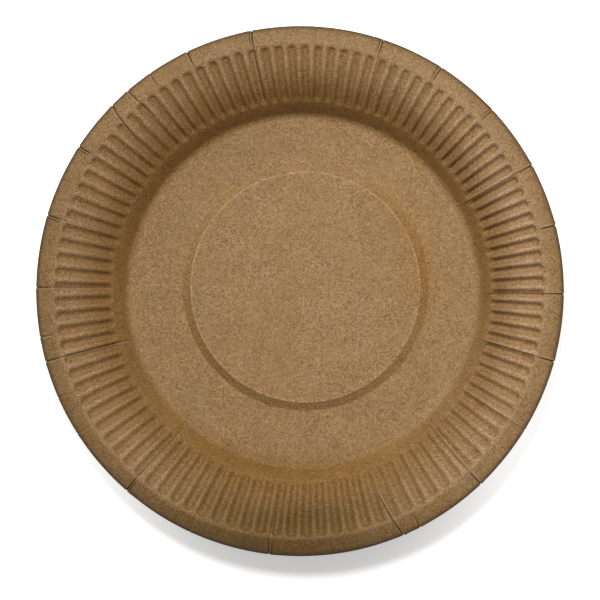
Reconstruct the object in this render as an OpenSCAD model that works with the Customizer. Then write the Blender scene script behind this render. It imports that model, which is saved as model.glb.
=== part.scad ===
/* [Plate] */
// Diameter over the brim
plate_d = 230; // [180:1:280]
// Thickness of the pressed sheet
sheet = 0.5; // [0.3:0.05:0.8]
// Diameter of the flat base, out to where the corner starts
base_d = 149.6; // [120:0.2:170]
// Radius of the corner between base and wall
corner_r = 4.5; // [2.5:0.1:6]
// Slope of the wall just above the corner, in degrees
wall_slope = 57; // [48:1:62]

/* [Brim] */
// Width of the smooth brim outside the flutes
brim_w = 7.7; // [5:0.1:11]
// Slope of the wall where it runs into the crest, in degrees
crest_slope = 11; // [6:1:18]
// Radius of the crest between wall and brim
crest_r = 2.2; // [1.5:0.1:3.5]
// Slope of the brim just outside the crest, in degrees
brim_start = 10; // [5:1:18]
// Slope of the brim at its cut edge, in degrees
brim_end = 28; // [22:1:40]

/* [Centre] */
// Diameter of the raised centre, to the middle of its step
centre_d = 104.4; // [60:0.2:110]
// Place of the middle of the raised centre along X, beside the middle of the plate
centre_x = 1.2; // [-3:0.1:3]
// Place of the middle of the raised centre along Y, beside the middle of the plate
centre_y = 2; // [-3:0.1:3]
// Width of the sloping step around the centre
step_w = 4; // [3:0.1:5]
// Slope of the step, in degrees
step_slope = 31; // [15:1:35]
// Radius of the step's two edges
step_r = 0.8; // [0.5:0.1:1.2]

/* [Flutes] */
// Number of flutes around the wall
flutes = 108; // [72:1:120]
// Depth to which the flutes are sunk into the wall
flute_depth = 1.5; // [0.6:0.05:2]
// Bare length of wall between the corner and the flutes
flute_gap = 6.5; // [3:0.1:9]
// Length of the sloping end of a flute
flute_run = 2.6; // [1.5:0.1:4]
// Width of a flute's floor, as a share of the pitch
floor_share = 0.28; // [0.2:0.01:0.4]
// Width of the ridge between two flutes, as a share of the pitch
ridge_share = 0.2; // [0.1:0.01:0.3]

/* [Pleats] */
// Width of the fold line of a pleat
pleat_w = 1.3; // [0.8:0.1:2]
// Depth of the fold line of a pleat at the cut edge
pleat_depth = 0.4; // [0.1:0.05:0.6]

/* [Hidden] */
kraft = [0.66, 0.52, 0.37];

// Angles around the plate at which the brim is gathered into a pleat, counter-clockwise from +X
pleats = [14, 28, 43, 57, 71, 86, 100, 115, 130.5, 147, 163, 179, 195.5, 212.5, 229, 245.5, 263.5, 293, 313.5, 328.5,
  344.5, 359];

// Depth of a fold line on the crest, as a share of its depth at the cut edge
crest_share = 0.6;

half = sheet / 2;
rim_r = plate_d / 2;
base_r = base_d / 2;

// One full turn, in degrees
turn_angle = 360;

// Centres and radii of the arcs that the middle of the sheet follows, from the centre out
step_in = (centre_d - step_w) / 2;
step_out = (centre_d + step_w) / 2;
step_h = (step_w - 2 * step_r * sin(step_slope)) * tan(step_slope) + 2 * step_r * (1 - cos(step_slope));
step_top = [step_in, half + step_h - step_r];
step_foot = [step_out, half + step_r];
corner = [base_r, half + corner_r];
corner_end = corner + corner_r * [sin(wall_slope), -cos(wall_slope)];
wall_r = (rim_r - brim_w - corner_end[0]) / (sin(wall_slope) - sin(crest_slope));
wall = corner_end + wall_r * [sin(wall_slope), -cos(wall_slope)];
crest = wall + (wall_r - crest_r) * [-sin(crest_slope), cos(crest_slope)];
brim_in = crest + crest_r * [sin(brim_start), cos(brim_start)];
brim_r = (rim_r - half * sin(brim_end) - brim_in[0]) / (sin(brim_end) - sin(brim_start));
brim = brim_in - brim_r * [sin(brim_start), cos(brim_start)];

// Slopes of the wall where the flutes start, where they are full, and where they begin to run out
run_angle = turn_angle * flute_run / (2 * PI * wall_r);
flute_start = wall_slope - turn_angle * flute_gap / (2 * PI * wall_r);
flute_in = flute_start - run_angle;
flute_out = crest_slope + run_angle;
flute_third = (flute_in - flute_out) / 3;

// Columns of points around a ring: [angle, flute there, fold line there]
pitch = turn_angle / flutes;
pleat_half = turn_angle * pleat_w / (4 * PI * rim_r);

function even(count) = [for (i = [0:count - 1]) [i * turn_angle / count, 0, 0]];
function fluted() = [for (i = [0:flutes - 1], side = [-1, 1], edge = [0, 1])
  let (flank = edge == (side < 0 ? 0 : 1))
  [(i + 0.5 + side * (flank ? 1 - ridge_share : floor_share) / 2) * pitch, flank ? 0 : 1, 0]];
function pleated() = [for (i = [0:len(pleats) - 1])
  let (here = pleats[i], there = i + 1 < len(pleats) ? pleats[i + 1] : pleats[0] + turn_angle,
    spans = ceil((there - here) / (2 * pitch)),
    span = (there - here - 2 * pleat_half) / spans)
  each concat([[here, 0, 1]], [for (j = [0:spans]) [here + pleat_half + j * span, 0, 0]])];

base_columns = even(floor(flutes * 4 / 9));
wall_columns = even(flutes);
flute_columns = fluted();
brim_columns = pleated();

// A ring of the sheet: [middle of the sheet, way up, depth of the flutes, depth of the fold lines, columns]
function way(a) = [cos(a), sin(a)];
function hollow(c, r, a, columns) = [c + r * way(a), -way(a), 0, 0, columns];
function raised(c, r, a, columns) = [c + r * way(a), way(a), 0, 0, columns];
function on_wall(slope, depth, columns) = [wall + wall_r * way(90 + slope), way(90 + slope), depth, 0, columns];
function on_brim(c, r, a, share) = [c + r * way(a), way(a), 0, share * pleat_depth, brim_columns];

rings = concat(
  [for (i = [0:1]) raised(step_top, step_r, 90 - i * step_slope, base_columns)],
  [for (i = [0:1]) hollow(step_foot, step_r, 270 - (1 - i) * step_slope, base_columns)],
  [for (i = [0:3]) hollow(corner, corner_r, 270 + i * wall_slope / 3, wall_columns)],
  [on_wall(flute_start, 0, wall_columns)],
  [for (i = [0:3]) on_wall(flute_in - i * flute_third, flute_depth, flute_columns)],
  [raised(crest, crest_r, 90 + crest_slope, wall_columns)],
  [on_brim(crest, crest_r, 90 - brim_start, crest_share)],
  [for (i = [1:2]) on_brim(brim, brim_r, 90 - brim_start - i * (brim_end - brim_start) / 2, 1)]);

function sunk(ring, column) = column[1] * ring[2] + column[2] * ring[3];
function beside(ring) = ring[0][0] < (step_out + base_r) / 2 ? [centre_x, centre_y] : [0, 0];
function spot(ring, column, side) =
  let (p = ring[0] + (side * half - sunk(ring, column)) * ring[1], m = beside(ring))
  [m[0] + p[0] * cos(column[0]), m[1] + p[0] * sin(column[0]), p[1]];

// The skin runs out over the top and back under the sheet
turned = [for (i = [len(rings) - 1:-1:0]) rings[i]];
skin = concat([for (ring = rings) [ring, 1]], [for (ring = turned) [ring, -1]]);
points = [for (s = skin) each [for (column = s[0][4]) spot(s[0], column, s[1])]];
counts = [for (s = skin) len(s[0][4])];
function starts(i) = i == 0 ? 0 : starts(i - 1) + counts[i - 1];
first = [for (i = [0:len(skin)]) starts(i)];

// Triangles between one ring of the skin and the next, taken in the order of the middles of their edges
turns = [-turn_angle, 0, turn_angle];
function middles(columns) = [for (i = [0:len(columns) - 1])
  (columns[i][0] + (i + 1 < len(columns) ? columns[i + 1][0] : columns[0][0] + turn_angle)) / 2];
function upto(list, a) = len([for (c = list, turn = turns) if (c + turn <= a) 1]);
function before(list, a) = len([for (c = list, turn = turns) if (c + turn < a) 1]);
function vertex(k, i) = first[k] + i % counts[k];

function alike(k) = [for (i = [0:counts[k] - 1])
  each [[vertex(k, i), vertex(k, i + 1), vertex(k + 1, i)], [vertex(k, i + 1), vertex(k + 1, i + 1), vertex(k + 1, i)]]];
function zipped(k) =
  let (a = middles(skin[k][0][4]), b = middles(skin[k + 1][0][4]))
  concat(
    [for (i = [0:len(a) - 1]) [vertex(k, i), vertex(k, i + 1), vertex(k + 1, upto(b, a[i]))]],
    [for (j = [0:len(b) - 1]) [vertex(k, before(a, b[j])), vertex(k + 1, j + 1), vertex(k + 1, j)]]);
function band(k) = skin[k][0][4] == skin[k + 1][0][4] ? alike(k) : zipped(k);

last = len(skin) - 1;
caps = [[for (i = [counts[0] - 1:-1:0]) vertex(0, i)], [for (i = [0:counts[last] - 1]) vertex(last, i)]];
faces = concat(caps, [for (k = [0:last - 1]) each band(k)]);

module plate() color(kraft) polyhedron(points, faces);

plate();
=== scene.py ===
"""Kraft paper plate: one pressed sheet of board, lying on a pale floor under soft light."""
import math

import bpy
import numpy as np
from mathutils import Matrix, Vector


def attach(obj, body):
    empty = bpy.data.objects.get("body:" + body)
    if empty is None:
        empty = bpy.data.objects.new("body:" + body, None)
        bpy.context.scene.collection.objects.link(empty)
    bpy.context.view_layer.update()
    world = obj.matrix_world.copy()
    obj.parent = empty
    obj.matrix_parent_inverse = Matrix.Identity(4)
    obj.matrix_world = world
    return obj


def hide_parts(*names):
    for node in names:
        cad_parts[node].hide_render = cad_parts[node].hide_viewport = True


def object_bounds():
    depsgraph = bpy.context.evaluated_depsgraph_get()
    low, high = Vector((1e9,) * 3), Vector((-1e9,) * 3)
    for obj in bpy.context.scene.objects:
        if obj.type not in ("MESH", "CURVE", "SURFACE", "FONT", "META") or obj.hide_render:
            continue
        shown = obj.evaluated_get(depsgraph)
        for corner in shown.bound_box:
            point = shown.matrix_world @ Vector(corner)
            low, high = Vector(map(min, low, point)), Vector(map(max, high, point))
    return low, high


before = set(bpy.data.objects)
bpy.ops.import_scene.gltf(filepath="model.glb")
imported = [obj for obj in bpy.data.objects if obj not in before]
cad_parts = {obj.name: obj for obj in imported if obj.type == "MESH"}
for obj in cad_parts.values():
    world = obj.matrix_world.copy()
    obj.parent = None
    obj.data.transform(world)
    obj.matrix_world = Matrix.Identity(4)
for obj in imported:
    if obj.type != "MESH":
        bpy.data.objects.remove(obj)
cad_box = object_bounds()

# Sizes of the pressed sheet, in metres and radians
MM = 0.001
TURN = 2 * math.pi
QUARTER = math.pi / 2
SHEET = 0.5 * MM
HALF = SHEET / 2
RIM_R = (cad_box[1][0] - cad_box[0][0]) / 2
BASE_R = 74.8 * MM
CORNER_R = 4.5 * MM
WALL_SLOPE = math.radians(57)
BRIM_W = 7.7 * MM
CREST_SLOPE = math.radians(11)
CREST_R = 2.2 * MM
BRIM_START = math.radians(10)
BRIM_END = math.radians(28)
LIP_R = 0.6 * MM
LIP_END = math.radians(78)
EDGE_W = 1.2 * MM
CENTRE_R = 52.2 * MM
CENTRE_X = 1.2 * MM
CENTRE_Y = 2 * MM
STEP_W = 4 * MM
STEP_SLOPE = math.radians(31)
STEP_R = 0.8 * MM

# Rings on the flat centre and on the flat base, as shares of the way out, and rings along each arc
CENTRE_RING_SHARES = (0.1, 0.3, 0.55, 0.8, 0.95, 0.985)
BASE_RING_SHARES = (0.3, 0.6, 0.85)
STEP_RINGS = 5
CORNER_RINGS = 7
NOSE_RINGS = 7
WALL_RINGS = 6
FLUTE_END_RINGS = 6
CREST_RINGS = 5
BRIM_RINGS = 5
LIP_RINGS = 3

# Columns around the plate: the flat middle has one for every four of the wall and the brim
SPARSE_EVERY = 4
COLUMNS_PER_FLUTE = 10
FINE_PER_COLUMN = 8

# Flutes sunk into the wall
FLUTES = 108
FLUTE_DEPTH = 1.4 * MM
FLUTE_GAP = 6.5 * MM
FLUTE_NOSE = 3.6 * MM
FLUTE_END = 2.6 * MM
FLOOR_SHARE = 0.15
FLANK_END_SHARE = 0.88

# Uneven spacing of the flutes: waves around the plate, start in degrees, shift as a share of the pitch
FLUTE_SHIFT_SHARES = [(1, 45.4, 1.506), (2, 42, 0.172), (3, -56, 0.038)]
FIRST_FLUTE_SHARE = -0.118

# Places where the flutes are pressed deeper or less deep: angle and reach in degrees, change of depth
FLUTE_PRESS = [(8, 50, 0.3), (70, 40, -0.2), (150, 35, -0.2), (224, 28, -0.18), (312, 40, -0.35)]

# Pleats: angle in degrees, strength on the brim, strength on the wall, share of the wall that they run down,
# gap to a second fold line in millimetres, drift inwards in degrees
PLEATS = [
    (14.2, 1.0, 0.15, 0.5, 0.0, 0.0),
    (28.1, 0.9, 0.6, 1.0, 0.0, 0.0),
    (42.8, 0.7, 0.1, 0.3, 1.0, 0.0),
    (57.2, 0.8, 0.25, 0.5, 1.1, 0.0),
    (71.2, 0.8, 0.4, 0.5, 1.1, -0.8),
    (86.1, 0.35, 0.1, 0.2, 1.0, 0.0),
    (100.3, 1.0, 0.5, 0.8, 1.0, 0.5),
    (115.1, 1.0, 0.2, 0.4, 0.0, -0.8),
    (124.4, 0.6, 0.0, 0.0, 0.0, 0.3),
    (130.6, 0.9, 0.7, 0.25, 0.0, -2.0),
    (135.2, 0.9, 0.8, 0.4, 0.0, 3.5),
    (146.7, 1.0, 0.35, 0.3, 1.1, -0.6),
    (163.2, 1.0, 0.25, 0.4, 1.1, 0.0),
    (179.2, 0.8, 0.3, 0.6, 0.0, -0.3),
    (190.0, 0.6, 0.0, 0.0, 0.0, 0.0),
    (195.5, 0.9, 0.6, 1.0, 0.0, 0.0),
    (203.8, 0.3, 0.0, 0.0, 0.0, 0.0),
    (212.7, 0.35, 0.1, 0.3, 0.0, 0.0),
    (229.0, 1.0, 0.5, 1.0, 0.9, 0.0),
    (245.4, 0.35, 0.1, 0.2, 0.0, 0.0),
    (263.4, 0.9, 0.3, 0.2, 1.2, 0.0),
    (293.4, 1.0, 0.9, 0.35, 0.0, -3.2),
    (297.4, 0.7, 0.0, 0.0, 0.0, 0.4),
    (313.5, 0.9, 0.5, 1.0, 0.0, 0.4),
    (328.6, 0.35, 0.4, 0.9, 0.0, 0.0),
    (344.6, 1.0, 0.5, 1.0, 0.0, 0.3),
    (359.3, 0.8, 0.6, 1.0, 0.0, 0.0),
]
PLEAT_DEPTH = 0.45 * MM
PLEAT_LINE = 0.3 * MM
SECOND_SHARE = 0.8
PLEAT_SWELL = 0.14 * MM
PLEAT_SPREAD = 1.6 * MM
PLEAT_FADE = 6 * MM
BRIM_LINE_END = 8.4 * MM
BRIM_LINE_FADE = 3 * MM
PLEAT_NICK = 0.2 * MM
NICK_RUN = BRIM_W / 4
PLEAT_LIP = 0.25 * MM
PLEAT_LIP_W = 1.2 * MM
# Lighter line on the lip beside each fold: worn fibres with a painted highlight
PLEAT_LIGHT = 0.55 * MM
PLEAT_LIGHT_W = 0.3 * MM
DRIFT_REACH = math.radians(8)

# Columns beside a fold line, in millimetres
PLEAT_COLUMNS = (-0.5, -0.27, -0.1, 0.05, 0.2, 0.45)

# Stretch of the sheet, counted from the corner out, that is pressed browner and is also painted darker with
# the shade on the corner and wall; the step's slope gets painted shade too
DRAWN_AND_SHADE_FROM = -0.5 * MM
DRAWN_AND_SHADE_START = 6 * MM
DRAWN_AND_SHADE_END = 28 * MM
DRAWN_AND_SHADE_FADE = 18 * MM
DRAWN_AND_SHADE_SHARE = 0.75
STEP_DRAWN_AND_SHADE_SHARE = 0.2

# Places where the browner stretch and its painted shade are stronger or weaker, on the wall (first list) and
# at the corner (second list), so light and shade are painted by side: angle and reach in degrees, change
PAINTED_LIGHT_SWAYS = [(0, 95, -0.9), (255, 60, 0.3)]
CORNER_SHADE_SWAYS = [(328, 45, -0.5), (262, 45, 0.33)]
PAINTED_LIGHT_SWAY_FROM = 8 * MM
PAINTED_LIGHT_SWAY_RUN = 10 * MM

# Places where the browner stretch and its painted shade at the corner start further in or out: angle and
# reach in degrees, length
DRAWN_AND_SHADE_EARLY = [(262, 70, 5 * MM), (10, 70, -2.2 * MM)]

# Painted light and shade: places where the board is painted darker or lighter for how light falls on the
# step, base, corner, wall and brim: angle and reach in degrees, change
STEP_PAINTED_SHADE = -0.07
STEP_PAINTED_LIGHT = [(216, 50, -0.12), (330, 45, 0.1), (140, 45, 0.06)]
BASE_PAINTED_SHADE = [(112, 75, -0.07)]
BASE_PAINTED_SHADE_RUN = 12 * MM
CORNER_PAINTED_SHADE = [(260, 45, -0.13)]
CORNER_PAINTED_SHADE_AT = 4.5 * MM
CORNER_PAINTED_SHADE_RUN = 8 * MM
WALL_PAINTED_LIGHT = [(25, 85, 0.26), (269, 47, -0.54)]
WALL_PAINTED_LIGHT_FROM = 14 * MM
WALL_PAINTED_LIGHT_RUN = 17 * MM
BRIM_PAINTED_LIGHT = [(92, 50, -0.12), (55, 45, -0.04), (165, 25, -0.05), (263, 43, -0.28), (318, 35, 0.09)]

# Stretch around the step that is a warmer brown: angle and reach in degrees, share; and how much lighter
WARM_SHARES = [(10, 90, 0.72)]
WARM_W = 24 * MM
WARM_TONE = 0.25

# Stretch of the wall, counted from the corner out, that is painted greyer and lighter on the +X side as
# painted light: angle and reach in degrees, share
PALE_SHARES = [(15, 80, 1.0)]
PALE_FROM = 8 * MM
PALE_RUN = 15 * MM

# Stretch of the ridges and the crest, counted from the cut edge in, that is paler from wear and from a
# painted cool sheen; and a thin painted highlight along the step's upper edge
RUBBED_AND_SHEEN_START = 6.6 * MM
RUBBED_AND_SHEEN_RISE = 4.5 * MM
RUBBED_AND_SHEEN_END = 27 * MM
RUBBED_AND_SHEEN_FADE = 14 * MM
RUBBED_AND_SHEEN_SWAYS = [(262, 50, -0.7)]
HIGHLIGHT_BROW_IN = 0.1 * MM
HIGHLIGHT_BROW_W = 0.4 * MM

# Slow waves of the brim: how many around the plate, height, start in radians
BRIM_WAVES = [(3, 0.22 * MM, 0.4), (7, 0.14 * MM, 2.1), (11, 0.1 * MM, 5.0), (19, 0.06 * MM, 3.3)]

# Places where the brim hangs steeper or flatter: angle and reach in degrees, change of slope
BRIM_LEANS = [(262, 66, 0.4), (320, 60, -0.2)]
LEAN_START = 5 * MM
LEAN_RUN = 8 * MM

# Stretch over which the brim's waves and its painted light and shade run out, and the least angle of a sharp
# edge
BRIM_RUN = 2 * BRIM_W
SHARP = math.radians(55)


def smooth(x):
    """Soft rise from 0 to 1."""
    x = np.clip(x, 0, 1)
    return x * x * (3 - 2 * x)


def way(angle):
    """Direction (r, z) at an angle above the flat."""
    return np.array([math.cos(angle), math.sin(angle)])


# Arcs that the middle of the sheet follows, from the centre out
STEP_LINE_W = STEP_W - 2 * STEP_R * math.sin(STEP_SLOPE)
STEP_H = STEP_LINE_W * math.tan(STEP_SLOPE) + 2 * STEP_R * (1 - math.cos(STEP_SLOPE))
STEP_TOP = np.array([CENTRE_R - STEP_W / 2, HALF + STEP_H - STEP_R])
STEP_FOOT = np.array([CENTRE_R + STEP_W / 2, HALF + STEP_R])
CORNER = np.array([BASE_R, HALF + CORNER_R])
WALL_START = CORNER + CORNER_R * way(WALL_SLOPE - QUARTER)
WALL_R = (RIM_R - BRIM_W - WALL_START[0]) / (math.sin(WALL_SLOPE) - math.sin(CREST_SLOPE))
WALL = WALL_START - WALL_R * way(QUARTER + WALL_SLOPE)
CREST = WALL + (WALL_R - CREST_R) * way(QUARTER + CREST_SLOPE)
BRIM_IN = CREST + CREST_R * way(QUARTER - BRIM_START)
LIP_W = LIP_R * (math.sin(LIP_END) - math.sin(BRIM_END))
BRIM_OUT_R = RIM_R - HALF * math.sin(LIP_END) - LIP_W
BRIM_R = (BRIM_OUT_R - BRIM_IN[0]) / (math.sin(BRIM_END) - math.sin(BRIM_START))
BRIM = BRIM_IN - BRIM_R * way(QUARTER - BRIM_START)
LIP = BRIM + (BRIM_R - LIP_R) * way(QUARTER - BRIM_END)


def section():
    """Rings of the sheet from the centre out, and the number of the ring where the close columns start.

    Each ring holds the middle of the sheet (r, z), the way up (r, z), how far it lies beyond the straight
    part of the flutes, as a share of their round ends, and how far it shares in the centre's place beside
    the middle.
    """
    rings = []

    def add(point, up, beyond=1.0):
        beside = np.clip((BASE_R - point[0]) / (BASE_R - STEP_FOOT[0]), 0, 1)
        rings.append((point[0], point[1], up[0], up[1], beyond, beside))

    for share in CENTRE_RING_SHARES:
        add((STEP_TOP[0] * share, HALF + STEP_H), (0, 1))
    for a in np.linspace(QUARTER, QUARTER - STEP_SLOPE, STEP_RINGS):
        add(STEP_TOP + STEP_R * way(a), way(a))
    for a in np.linspace(3 * QUARTER - STEP_SLOPE, 3 * QUARTER, STEP_RINGS)[1:]:
        add(STEP_FOOT + STEP_R * way(a), -way(a))
    for share in BASE_RING_SHARES:
        add((STEP_FOOT[0] + (BASE_R - STEP_FOOT[0]) * share, HALF), (0, 1))
    close_from = len(rings) + 1
    for a in np.linspace(3 * QUARTER, 3 * QUARTER + WALL_SLOPE, CORNER_RINGS):
        add(CORNER + CORNER_R * way(a), -way(a))

    nose = FLUTE_NOSE / WALL_R
    end = FLUTE_END / WALL_R
    tip_in = WALL_SLOPE - FLUTE_GAP / WALL_R
    slopes = np.concatenate([
        [(WALL_SLOPE + tip_in) / 2],
        np.linspace(tip_in, tip_in - nose, NOSE_RINGS),
        np.linspace(tip_in - nose, CREST_SLOPE + end, WALL_RINGS)[1:],
        np.linspace(CREST_SLOPE + end, CREST_SLOPE, FLUTE_END_RINGS)[1:-1],
    ])
    for slope in slopes:
        up = way(QUARTER + slope)
        beyond = max(0, (slope - tip_in) / nose + 1, (CREST_SLOPE - slope) / end + 1)
        add(WALL + WALL_R * up, up, beyond)
    for a in np.linspace(QUARTER + CREST_SLOPE, QUARTER - BRIM_START, CREST_RINGS):
        add(CREST + CREST_R * way(a), way(a))
    for a in np.linspace(QUARTER - BRIM_START, QUARTER - BRIM_END, BRIM_RINGS)[1:]:
        add(BRIM + BRIM_R * way(a), way(a))
    for a in np.linspace(QUARTER - BRIM_END, QUARTER - LIP_END, LIP_RINGS)[1:]:
        add(LIP + LIP_R * way(a), way(a))
    return np.array(rings), close_from


def wrapped(angle):
    """The same angle, between half a turn back and half a turn on."""
    return np.mod(angle + math.pi, TURN) - math.pi


def flute_count(phi):
    """How many flutes lie between the +X side and each angle."""
    count = phi * FLUTES / TURN + FIRST_FLUTE_SHARE
    for waves, start, shift in FLUTE_SHIFT_SHARES:
        count = count + shift * np.sin(waves * phi - math.radians(start))
    return count


def columns():
    """Angles around the plate: as many for each flute, and close ones along each fold line."""
    count = FLUTES * COLUMNS_PER_FLUTE
    fine = np.linspace(0, TURN, FINE_PER_COLUMN * count + 1)
    first = math.ceil(flute_count(0.0) * COLUMNS_PER_FLUTE)
    places = np.arange(first, first + count) / COLUMNS_PER_FLUTE
    even = np.interp(places, flute_count(fine), fine)
    spread = np.array(PLEAT_COLUMNS) * MM
    lines = []
    for angle, strength, wall_strength, reach, gap, drift in PLEATS:
        for line in (0.0, gap * MM) if gap else (0.0,):
            lines.append(math.radians(angle) + (line + spread) / RIM_R)
    lines = np.mod(np.concatenate(lines), TURN)
    clear = np.abs(wrapped(even[:, None] - lines)).min(axis=1) > PLEAT_LINE / 2 / RIM_R
    angles = np.sort(np.concatenate([even[clear], lines]))
    return angles[len(angles) % SPARSE_EVERY:]


def sway(phi, places):
    """Change at each angle that a list of places gives, fading out at the reach of each."""
    total = np.zeros_like(phi)
    for angle, reach, change in places:
        total = total + change * smooth(1 - np.abs(wrapped(phi - math.radians(angle))) / math.radians(reach))
    return total


def pressed_sheet():
    """Points of the two faces of the sheet and of its cut edge, ring by ring, with what the material needs,
    painted light and shade among it.
    """
    rings, close_from = section()
    angles = columns()
    r, z, up_r, up_z, beyond, beside = (rings[:, i:i + 1] for i in range(6))
    step = np.hypot(np.diff(rings[:, 0]), np.diff(rings[:, 1]))
    along = np.concatenate([[0], np.cumsum(step)])[:, None]
    from_edge = along[-1] - along
    wall_length = WALL_R * (WALL_SLOPE - CREST_SLOPE)
    phi = np.tile(angles, (len(rings), 1))

    for angle, strength, wall_strength, reach, gap, drift in PLEATS:
        near = smooth(1 - np.abs(wrapped(phi - math.radians(angle))) / DRIFT_REACH)
        phi = phi + near * math.radians(drift) * np.clip(from_edge / wall_length, 0, 1)

    across = np.abs(np.mod(flute_count(phi), 1) - 0.5) * 2
    flank = np.clip((FLANK_END_SHARE - np.hypot(across, beyond)) / (FLANK_END_SHARE - FLOOR_SHARE), 0, 1)
    groove = (flank + smooth(flank)) / 2
    # Flanks of the flutes; the material paints shade on them and in the groove, where the pressed board is
    # also darker
    flank = 4 * groove * (1 - groove)
    lift = -FLUTE_DEPTH * groove * (1 + sway(phi, FLUTE_PRESS))

    fold = np.zeros_like(phi)
    nick = np.zeros_like(phi)
    light = np.zeros_like(phi)
    for angle, strength, wall_strength, reach, gap, drift in PLEATS:
        centre = math.radians(angle) + math.radians(drift) * np.clip(from_edge / wall_length, 0, 1)
        across = wrapped(phi - centre) * r
        length = BRIM_W + PLEAT_FADE + reach * (wall_length - PLEAT_FADE)
        brim_line = smooth((BRIM_LINE_END - from_edge) / BRIM_LINE_FADE)
        weight = np.maximum(strength * brim_line, wall_strength * smooth((length - from_edge) / PLEAT_FADE))
        line = np.exp(-(across / PLEAT_LINE) ** 2)
        if gap:
            second = np.exp(-((across - gap * MM) / PLEAT_LINE) ** 2)
            line = np.maximum(line, SECOND_SHARE * brim_line * second)
        swell = np.exp(-((across - gap * MM / 2) / PLEAT_SPREAD) ** 2)
        beyond_line = np.maximum(across, 0)
        lip = smooth(beyond_line / PLEAT_LINE) * np.exp(-beyond_line / PLEAT_LIP_W)
        lift = lift + weight * (PLEAT_SWELL * swell + PLEAT_LIP * lip - PLEAT_DEPTH * line)
        # Lighter line on the lip beside each fold: worn fibres with a painted highlight
        light = np.maximum(light, weight * np.exp(-((across - PLEAT_LIGHT) / PLEAT_LIGHT_W) ** 2))
        # Fold lines: rougher, and painted shade in the material
        fold = np.maximum(fold, weight * line)
        nick = nick + strength * np.exp(-(across / (2 * PLEAT_LINE)) ** 2)

    on_brim = smooth(1 - from_edge / BRIM_RUN)
    wave = sum(height * np.sin(count * phi + start) for count, height, start in BRIM_WAVES)
    out = np.maximum(r - BRIM_IN[0] + LEAN_START, 0)
    bend = np.where(out < LEAN_RUN, out * out / (2 * LEAN_RUN), out - LEAN_RUN / 2)
    wave = on_brim * wave - sway(phi, BRIM_LEANS) * bend
    at_edge = smooth(1 - from_edge / NICK_RUN)
    # Last stretch before the cut edge: darker compressed board with painted shade on the turned-down lip
    edge = smooth(1 - from_edge / EDGE_W)

    def face(side):
        radius = r + (side * HALF + lift) * up_r - at_edge * nick * PLEAT_NICK
        height = z + (side * HALF + lift) * up_z + wave
        x = radius * np.cos(phi) + beside * CENTRE_X
        y = radius * np.sin(phi) + beside * CENTRE_Y
        return np.stack([x, y, height], axis=2)

    top = face(1)
    under = face(-1)
    from_corner = along - (along[-1] - from_edge[close_from])
    # Browner pressed stretch, also painted shade on the corner and wall, stronger or weaker by side
    start = DRAWN_AND_SHADE_FROM - sway(phi, DRAWN_AND_SHADE_EARLY)
    drawn_and_shade = smooth((from_corner - start) / DRAWN_AND_SHADE_START) * smooth((DRAWN_AND_SHADE_END - from_corner) / DRAWN_AND_SHADE_FADE)
    swayed = smooth((from_corner - PAINTED_LIGHT_SWAY_FROM) / PAINTED_LIGHT_SWAY_RUN)
    change = swayed * sway(phi, PAINTED_LIGHT_SWAYS) + (1 - swayed) * sway(phi, CORNER_SHADE_SWAYS)
    drawn_and_shade = drawn_and_shade * DRAWN_AND_SHADE_SHARE * (1 + change)
    # Paler worn ridges and crest with a painted cool sheen, less of it at the lower left
    rubbed_and_sheen = smooth((from_edge - RUBBED_AND_SHEEN_START) / RUBBED_AND_SHEEN_RISE) * smooth((RUBBED_AND_SHEEN_END - from_edge) / RUBBED_AND_SHEEN_FADE)
    rubbed_and_sheen = rubbed_and_sheen * (1 + sway(phi, RUBBED_AND_SHEEN_SWAYS))
    first_base = close_from - 1 - len(BASE_RING_SHARES)
    on_step = np.abs(up_r) / math.sin(STEP_SLOPE) * (along < along[first_base])
    warm = smooth(1 - np.abs(r - CENTRE_R) / WARM_W) * sway(phi, WARM_SHARES)
    # The step's slope gets painted shade; the warm stretch around it is browner
    drawn_and_shade = np.maximum(drawn_and_shade, STEP_DRAWN_AND_SHADE_SHARE * on_step + warm)
    # Painted highlight along the step's upper edge
    brow_highlight = smooth(1 - np.abs(r - STEP_TOP[0] - HIGHLIGHT_BROW_IN) / HIGHLIGHT_BROW_W)
    # Painted light and shade by place on the step, base, corner, wall and brim; the warm stretch is lighter
    on_base = smooth((r - CENTRE_R) / BASE_PAINTED_SHADE_RUN) * (1 - smooth(from_corner / BASE_PAINTED_SHADE_RUN))
    on_corner = smooth(1 - np.abs(from_corner - CORNER_PAINTED_SHADE_AT) / CORNER_PAINTED_SHADE_RUN)
    on_wall = smooth((from_corner - WALL_PAINTED_LIGHT_FROM) / WALL_PAINTED_LIGHT_RUN) * (1 - on_brim)
    tone_and_painted_light = on_step * (STEP_PAINTED_SHADE + sway(phi, STEP_PAINTED_LIGHT)) + warm * WARM_TONE
    tone_and_painted_light = tone_and_painted_light + on_base * sway(phi, BASE_PAINTED_SHADE) + on_corner * sway(phi, CORNER_PAINTED_SHADE)
    tone_and_painted_light = tone_and_painted_light + on_wall * sway(phi, WALL_PAINTED_LIGHT) + on_brim * sway(phi, BRIM_PAINTED_LIGHT)
    # Painted light: the wall is greyer and lighter on the +X side
    pale = smooth((from_corner - PALE_FROM) / PALE_RUN) * (1 - on_brim) * sway(phi, PALE_SHARES)
    rubbed_and_sheen = np.maximum(rubbed_and_sheen * (1 - groove), brow_highlight)
    finish_and_painted_light = {"fold": fold, "groove": groove, "flank": flank, "drawn_and_shade": drawn_and_shade, "rubbed_and_sheen": rubbed_and_sheen,
              "tone_and_painted_light": tone_and_painted_light, "pale": pale, "light": light, "edge": edge + np.zeros_like(phi)}
    return top, under, finish_and_painted_light, close_from


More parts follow.
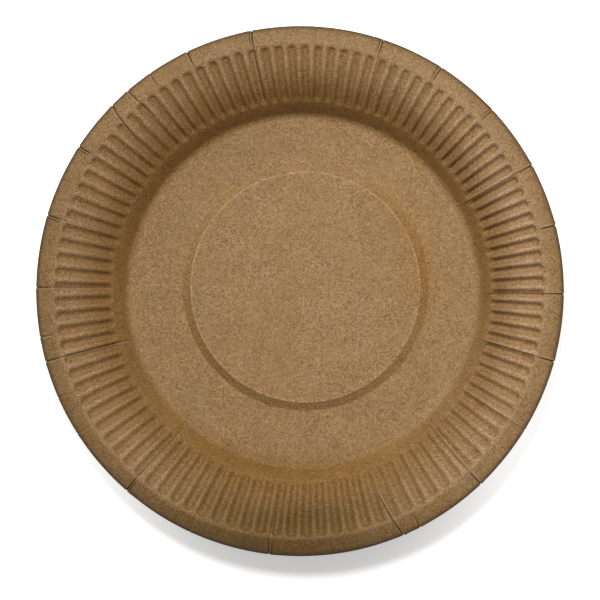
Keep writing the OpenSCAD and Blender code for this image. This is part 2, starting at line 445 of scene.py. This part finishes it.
def skin_faces(rows):
    """Faces between rows of point numbers, where a row has as many points as the next or a quarter."""
    faces = []
    for low, high in zip(rows, rows[1:]):
        n = len(low)
        if len(high) == n:
            faces += [(low[i], high[i], high[(i + 1) % n], low[(i + 1) % n]) for i in range(n)]
            continue
        sparse, close, turn = (low, high, False) if len(low) < len(high) else (high, low, True)
        for i in range(len(sparse)):
            a = sparse[i]
            b = sparse[(i + 1) % len(sparse)]
            c = [close[(SPARSE_EVERY * i + j) % len(close)] for j in range(SPARSE_EVERY + 1)]
            fan = [(a, c[0], c[1]), (a, c[1], c[2]), (a, c[2], b), (b, c[2], c[3]), (b, c[3], c[4])]
            faces += [tuple(reversed(f)) for f in fan] if turn else fan
    return faces


def plate_board():
    """The whole sheet as one closed mesh: top, cut edge and underside."""
    top, under, finish_and_painted_light, close_from = pressed_sheet()
    points = []
    values = {name: [] for name in finish_and_painted_light}
    rows = []
    order = [(top, k) for k in range(len(top))] + [(under, k) for k in reversed(range(len(under)))]
    for face, k in order:
        every = SPARSE_EVERY if k < close_from else 1
        ring = face[k][::every]
        rows.append(list(range(len(points), len(points) + len(ring))))
        points += ring.tolist()
        for name, value in finish_and_painted_light.items():
            values[name] += value[k][::every].tolist()
    faces = skin_faces(rows)
    for row, ring, out in ((rows[0], top[0], False), (rows[-1], under[0], True)):
        points.append(tuple(ring.mean(axis=0).tolist()))
        for name in finish_and_painted_light:
            values[name].append(0.0)
        hub = len(points) - 1
        fan = [(hub, row[i], row[(i + 1) % len(row)]) for i in range(len(row))]
        faces += [tuple(reversed(f)) for f in fan] if out else fan

    mesh = bpy.data.meshes.new("plate_board")
    mesh.from_pydata(points, [], faces)
    mesh.update()
    mesh.polygons.foreach_set("use_smooth", [True] * len(mesh.polygons))
    mesh.set_sharp_from_angle(angle=SHARP)
    for name, value in values.items():
        mesh.attributes.new(name, "FLOAT", "POINT").data.foreach_set("value", value)
    board = bpy.data.objects.new("plate_board", mesh)
    bpy.context.collection.objects.link(board)
    return board


class Nodes:
    """Places nodes in a material's tree and joins them."""

    def __init__(self, tree):
        self.tree = tree
        tree.nodes.clear()

    def add(self, kind, settings=None, **inputs):
        """A node with its settings, and its inputs by their names, or as i0, i1 by their numbers."""
        made = self.tree.nodes.new(kind)
        for name, value in (settings or {}).items():
            setattr(made, name, value)
        for name, value in inputs.items():
            numbered = name[0] == "i" and name[1:].isdigit()
            socket = made.inputs[int(name[1:]) if numbered else name]
            if isinstance(value, bpy.types.NodeSocket):
                self.tree.links.new(value, socket)
            else:
                socket.default_value = value
        return made

    def math(self, operation, a, b=0.0, c=0.0):
        return self.add("ShaderNodeMath", {"operation": operation}, i0=a, i1=b, i2=c).outputs[0]

    def mix(self, share, a, b, blend="MIX"):
        made = self.add("ShaderNodeMix", {"data_type": "RGBA", "blend_type": blend}, i0=share, i6=a, i7=b)
        return made.outputs[2]

    def band(self, value, low, high):
        """Soft rise from 0 at low to 1 at high."""
        made = self.add("ShaderNodeMapRange", {"interpolation_type": "SMOOTHSTEP"}, Value=value)
        made.inputs["From Min"].default_value = low
        made.inputs["From Max"].default_value = high
        return made.outputs[0]

    def attribute(self, name):
        return self.add("ShaderNodeAttribute", {"attribute_name": name}).outputs["Fac"]


def srgb(r, g, b):
    """Colour for a socket, from its values on screen."""
    def linear(c):
        c = c / 255
        return c / 12.92 if c <= 0.04045 else ((c + 0.055) / 1.055) ** 2.4
    return (linear(r), linear(g), linear(b), 1.0)


# Colours of the board
BOARD_DARK = srgb(118, 80, 26)
BOARD_LIGHT = srgb(201, 165, 119)
BOARD_PLAIN = srgb(160, 128, 90)
FIBRE_LIGHT = srgb(200, 168, 118)
FIBRE_DARK = srgb(118, 86, 32)
SPECK_LIGHT = srgb(224, 200, 162)
SPECK_DARK = srgb(62, 42, 26)
# Cut edge: darker compressed board with painted shade on the turned-down lip
EDGE_BROWN = srgb(68, 49, 30)
# Lighter line beside each fold: worn fibres with a painted highlight
CREASE_LIGHT = srgb(206, 176, 138)
# Painted shade in the fold lines
FOLD_SHADE_BROWN = srgb(64, 34, 9)

# How much of each of these colours shows
FIBRE_LIGHT_SHARE = 0.4
FIBRE_DARK_SHARE = 0.35
SPECK_LIGHT_SHARE = 0.6
SPECK_DARK_SHARE = 0.75
CREASE_LIGHT_SHARE = 0.55
FOLD_SHADE_SHARE = 0.95

# Tints by which the colour of a stretch is multiplied; of the stretch tints, the browner one also carries
# painted shade on corner and wall, the paler worn one a painted cool sheen, the pale one painted light on the
# +X wall, and the groove and flank ones are painted shade in the flutes
WARM_TINT = (1.015, 1.0, 0.965, 1.0)
COOL_TINT = (0.985, 1.0, 1.035, 1.0)
STRETCH_TINTS = {
    "drawn_and_shade": (0.8, 0.71, 0.46, 1.0),
    "rubbed_and_sheen": (1.27, 1.33, 1.56, 1.0),
    "pale": (1.02, 1.08, 1.19, 1.0),
    "groove": (0.93, 0.9, 0.85, 1.0),
    "flank": (0.85, 0.82, 0.77, 1.0),
}
# Colour of the painted light and shade by place, and of the lighter warm stretch: blue changes most
TONE_AND_LIGHT_RED = 0.95
TONE_AND_LIGHT_GREEN = 1.0
TONE_AND_LIGHT_BLUE = 1.4

# Noise in the board, in waves to the metre, and how much of each goes into the colour and the tooth
GRAIN_SCALE = 1250.0
MOTTLE_SCALE = 500.0
PATCH_SCALE = 90.0
RELIEF_SCALE = 70.0
HUE_SCALE = 55.0
MOTTLE_SHARE = 0.16
PATCH_SHARE = 0.14
RELIEF_LEAST = 0.74
RELIEF_MORE = 0.4
RELIEF_BAND = (0.35, 0.65)
HUE_BAND = (0.3, 0.7)
DARKEST_AT = 0.32
LIGHTEST_AT = 1.01
TOOTH_MOTTLE_SHARE = 0.4
TOOTH_GRAIN_SHARE = 0.6
TOOTH_FIBRE_SHARE = 0.35
TOOTH_DEPTH = 0.00012
TOOTH_STRENGTH = 0.35

# Fibres: direction in degrees, length, width, level of the noise from which they show
LIGHT_FIBRES = [
    (20, 4 * MM, 0.3 * MM, 0.66),
    (83, 3.4 * MM, 0.3 * MM, 0.67),
    (145, 3.8 * MM, 0.28 * MM, 0.67),
]
DARK_FIBRES = [(52, 3 * MM, 0.3 * MM, 0.66), (118, 3.4 * MM, 0.32 * MM, 0.66)]
FIBRE_RISE = 0.1

# Gloss of the board: roughness, more of it on the grain and in the folds, and reflection
ROUGH_LEAST = 0.55
ROUGH_GRAIN = 0.16
ROUGH_FOLD = 0.35
SPECULAR = 0.3


def kraft_board():
    """Uncoated brown board: fibres, mottling, stray specks; painted shade in fold lines, grooves, flanks,
    corner, wall and at the cut edge, painted light and shade by place, and a painted sheen and highlights on
    ridges, crest and step edge.
    """
    material = bpy.data.materials.new("kraft_board")
    material.use_nodes = True
    n = Nodes(material.node_tree)
    place = n.add("ShaderNodeTexCoord").outputs["Object"]

    def noise(scale, detail=2.0, rough=0.5, vector=place):
        made = n.add("ShaderNodeTexNoise", None, Vector=vector, Scale=scale, Detail=detail, Roughness=rough)
        return made.outputs[0]

    def fibres(lays):
        """Mask of the thin streaks of all lays."""
        masks = []
        for turn, length, width, low in lays:
            lay = n.add("ShaderNodeMapping", None, Vector=place, Rotation=(0, 0, math.radians(turn)),
                        Scale=(1 / length, 1 / width, 1 / width))
            masks.append(n.band(noise(1.0, detail=1.0, vector=lay.outputs[0]), low, low + FIBRE_RISE))
        mask = masks[0]
        for more in masks[1:]:
            mask = n.math("MAXIMUM", mask, more)
        return mask

    def specks(scale, kept_share, size):
        """Mask of dots in a share of the cells."""
        cells = n.add("ShaderNodeTexVoronoi", {"voronoi_dimensions": "2D"}, Vector=place, Scale=scale)
        pick = n.add("ShaderNodeSeparateColor", None, Color=cells.outputs["Color"]).outputs[0]
        dot = n.band(cells.outputs["Distance"], size, size / 2)
        return n.math("MULTIPLY", n.math("LESS_THAN", pick, kept_share), dot)

    grain = noise(GRAIN_SCALE, detail=3.0, rough=0.7)
    mottle = noise(MOTTLE_SCALE)
    patches = noise(PATCH_SCALE, detail=3.0, rough=0.55)
    relief = n.math("MULTIPLY_ADD", n.band(noise(RELIEF_SCALE), *RELIEF_BAND), RELIEF_MORE, RELIEF_LEAST)
    worked = n.math("MULTIPLY_ADD", n.math("SUBTRACT", grain, 0.5), relief, 0.5)
    worked = n.math("MULTIPLY_ADD", mottle, MOTTLE_SHARE, worked)
    worked = n.math("MULTIPLY_ADD", patches, PATCH_SHARE, worked)
    colour = n.mix(n.band(worked, DARKEST_AT, LIGHTEST_AT), BOARD_DARK, BOARD_LIGHT)
    hue = n.mix(n.band(noise(HUE_SCALE), *HUE_BAND), WARM_TINT, COOL_TINT)
    colour = n.mix(1.0, colour, hue, "MULTIPLY")

    light_fibres = fibres(LIGHT_FIBRES)
    dark_fibres = fibres(DARK_FIBRES)
    light_specks = specks(scale=250.0, kept_share=0.22, size=0.08)
    dark_specks = specks(scale=120.0, kept_share=0.06, size=0.05)
    colour = n.mix(n.math("MULTIPLY", light_fibres, FIBRE_LIGHT_SHARE), colour, FIBRE_LIGHT)
    colour = n.mix(n.math("MULTIPLY", dark_fibres, FIBRE_DARK_SHARE), colour, FIBRE_DARK)
    colour = n.mix(n.math("MULTIPLY", light_specks, SPECK_LIGHT_SHARE), colour, SPECK_LIGHT)
    colour = n.mix(n.math("MULTIPLY", dark_specks, SPECK_DARK_SHARE), colour, SPECK_DARK)

    # Browner pressed stretch with painted shade, paler worn stretch with painted sheen, painted light on the
    # +X wall, painted shade in the grooves and on the flanks
    for name, tint in STRETCH_TINTS.items():
        colour = n.mix(n.attribute(name), colour, n.mix(1.0, colour, tint, "MULTIPLY"))
    # Painted light and shade by place, and the lighter warm stretch
    tone_and_painted_light = n.attribute("tone_and_painted_light")
    toned = n.add("ShaderNodeCombineColor", None, Red=n.math("MULTIPLY_ADD", tone_and_painted_light, TONE_AND_LIGHT_RED, 1.0),
                  Green=n.math("MULTIPLY_ADD", tone_and_painted_light, TONE_AND_LIGHT_GREEN, 1.0),
                  Blue=n.math("MULTIPLY_ADD", tone_and_painted_light, TONE_AND_LIGHT_BLUE, 1.0))
    colour = n.mix(1.0, colour, toned.outputs[0], "MULTIPLY")
    # Darker cut edge: compressed board with painted shade
    colour = n.mix(n.attribute("edge"), colour, EDGE_BROWN)

    fold = n.attribute("fold")
    # Worn fibres with a painted highlight beside each fold
    colour = n.mix(n.math("MULTIPLY", n.attribute("light"), CREASE_LIGHT_SHARE), colour, CREASE_LIGHT)
    # Painted shade in each fold line
    colour = n.mix(n.math("MULTIPLY", fold, FOLD_SHADE_SHARE), colour, FOLD_SHADE_BROWN)

    tooth = n.math("MULTIPLY_ADD", mottle, TOOTH_MOTTLE_SHARE, n.math("MULTIPLY", grain, TOOTH_GRAIN_SHARE))
    tooth = n.math("MULTIPLY_ADD", light_fibres, TOOTH_FIBRE_SHARE, tooth)
    bump = n.add("ShaderNodeBump", None, Height=tooth, Strength=TOOTH_STRENGTH, Distance=TOOTH_DEPTH)
    rough = n.math("MULTIPLY_ADD", grain, ROUGH_GRAIN, ROUGH_LEAST)
    rough = n.math("MULTIPLY_ADD", fold, ROUGH_FOLD, rough)
    shader = n.add("ShaderNodeBsdfPrincipled", None, Normal=bump.outputs[0], Roughness=rough)
    shader.inputs["Base Color"].default_value = BOARD_PLAIN
    shader.inputs["Specular IOR Level"].default_value = SPECULAR
    n.tree.links.new(colour, shader.inputs["Base Color"])
    out = n.add("ShaderNodeOutputMaterial", None)
    n.tree.links.new(shader.outputs[0], out.inputs["Surface"])
    return material


def pale_floor():
    """White floor that keeps the plate's shadow."""
    reach = 4.0
    grey = (0.85, 0.85, 0.85, 1.0)
    shade_middle = (0, -0.06, 0)
    shade_in = 0.055
    shade_out = 0.1
    glow_least = 0.5
    glow_more = 0.42
    corners = [(-reach, -reach, 0), (reach, -reach, 0), (reach, reach, 0), (-reach, reach, 0)]
    mesh = bpy.data.meshes.new("floor")
    mesh.from_pydata(corners, [], [(0, 1, 2, 3)])
    floor = bpy.data.objects.new("floor", mesh)
    bpy.context.collection.objects.link(floor)
    material = bpy.data.materials.new("floor_white")
    material.use_nodes = True
    n = Nodes(material.node_tree)
    path = n.add("ShaderNodeLightPath")
    seen = n.math("MAXIMUM", path.outputs["Is Camera Ray"], path.outputs["Is Glossy Ray"])
    seen = n.math("MAXIMUM", seen, path.outputs["Is Transmission Ray"])
    matt = n.add("ShaderNodeBsdfDiffuse", None, Color=grey)
    place = n.add("ShaderNodeTexCoord").outputs["Object"]
    # The floor's camera glow is weaker near the plate's lower side, so the shadow stays darkest there, and
    # stronger further out, where it paints light over the shadow
    away = n.add("ShaderNodeVectorMath", {"operation": "DISTANCE"}, i0=place, i1=shade_middle)
    clear = n.band(away.outputs["Value"], shade_in, shade_out)
    level = n.math("MULTIPLY", seen, n.math("MULTIPLY_ADD", clear, glow_more, glow_least))
    glow = n.add("ShaderNodeEmission", None, Color=(1.0, 1.0, 1.0, 1.0), Strength=level)
    both = n.add("ShaderNodeAddShader", None)
    n.tree.links.new(matt.outputs[0], both.inputs[0])
    n.tree.links.new(glow.outputs[0], both.inputs[1])
    out = n.add("ShaderNodeOutputMaterial", None)
    n.tree.links.new(both.outputs[0], out.inputs["Surface"])
    mesh.materials.append(material)


def aim(thing, place, target, up):
    """Turns a camera or lamp at place towards target, with up as the top of its view."""
    ahead = (Vector(target) - Vector(place)).normalized()
    right = ahead.cross(Vector(up)).normalized()
    top = right.cross(ahead)
    turn = Matrix((right, top, -ahead)).transposed()
    thing.matrix_world = Matrix.Translation(place) @ turn.to_4x4()


def soft_lamp(name, place, size, power, spread, target):
    """Round lamp that lights a spot, with its spread in degrees."""
    data = bpy.data.lights.new(name, "AREA")
    data.shape = "DISK"
    data.size = size
    data.energy = power
    data.spread = math.radians(spread)
    lamp = bpy.data.objects.new(name, data)
    bpy.context.collection.objects.link(lamp)
    aim(lamp, place, target, (1, 0, 0))


def studio():
    """Dim light from all around, and one lamp on the side of the picture's top."""
    world = bpy.data.worlds.new("studio")
    bpy.context.scene.world = world
    world.use_nodes = True
    n = Nodes(world.node_tree)
    sky = n.add("ShaderNodeBackground", None, Color=(1.0, 0.82, 0.6, 1.0), Strength=0.06)
    out = n.add("ShaderNodeOutputWorld", None)
    n.tree.links.new(sky.outputs[0], out.inputs["Surface"])
    soft_lamp("key", place=(0.0, 0.5, 0.97), size=0.36, power=0.55, spread=36, target=(0.03, -0.015, 0))
    bpy.context.scene.view_settings.view_transform = "Standard"


def camera():
    """Looks down on the plate, from a little to the right and above its middle in the picture."""
    frame_px = 600
    rim_px = 264.95
    distance = 2.0
    lean = math.radians(5.8)
    side = math.radians(-5)
    drop_px = 9.65
    drop = drop_px / rim_px * RIM_R
    middle_x = 0.0004
    middle_y = 0.00035
    rim_z = 0.0165
    target = Vector((middle_x, middle_y - drop, rim_z))
    away = Vector((math.sin(lean) * math.cos(side), math.sin(lean) * math.sin(side), math.cos(lean)))
    data = bpy.data.cameras.new("camera")
    data.sensor_width = 36
    half_width = frame_px / 2 / rim_px * RIM_R
    data.lens = data.sensor_width / 2 * distance / half_width
    made = bpy.data.objects.new("camera", data)
    bpy.context.collection.objects.link(made)
    aim(made, target + away * distance, target, (0, 1, 0))
    bpy.context.scene.camera = made


board = plate_board()
board.data.materials.append(kraft_board())
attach(board, "root")
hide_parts("plate")
pale_floor()
studio()
camera()
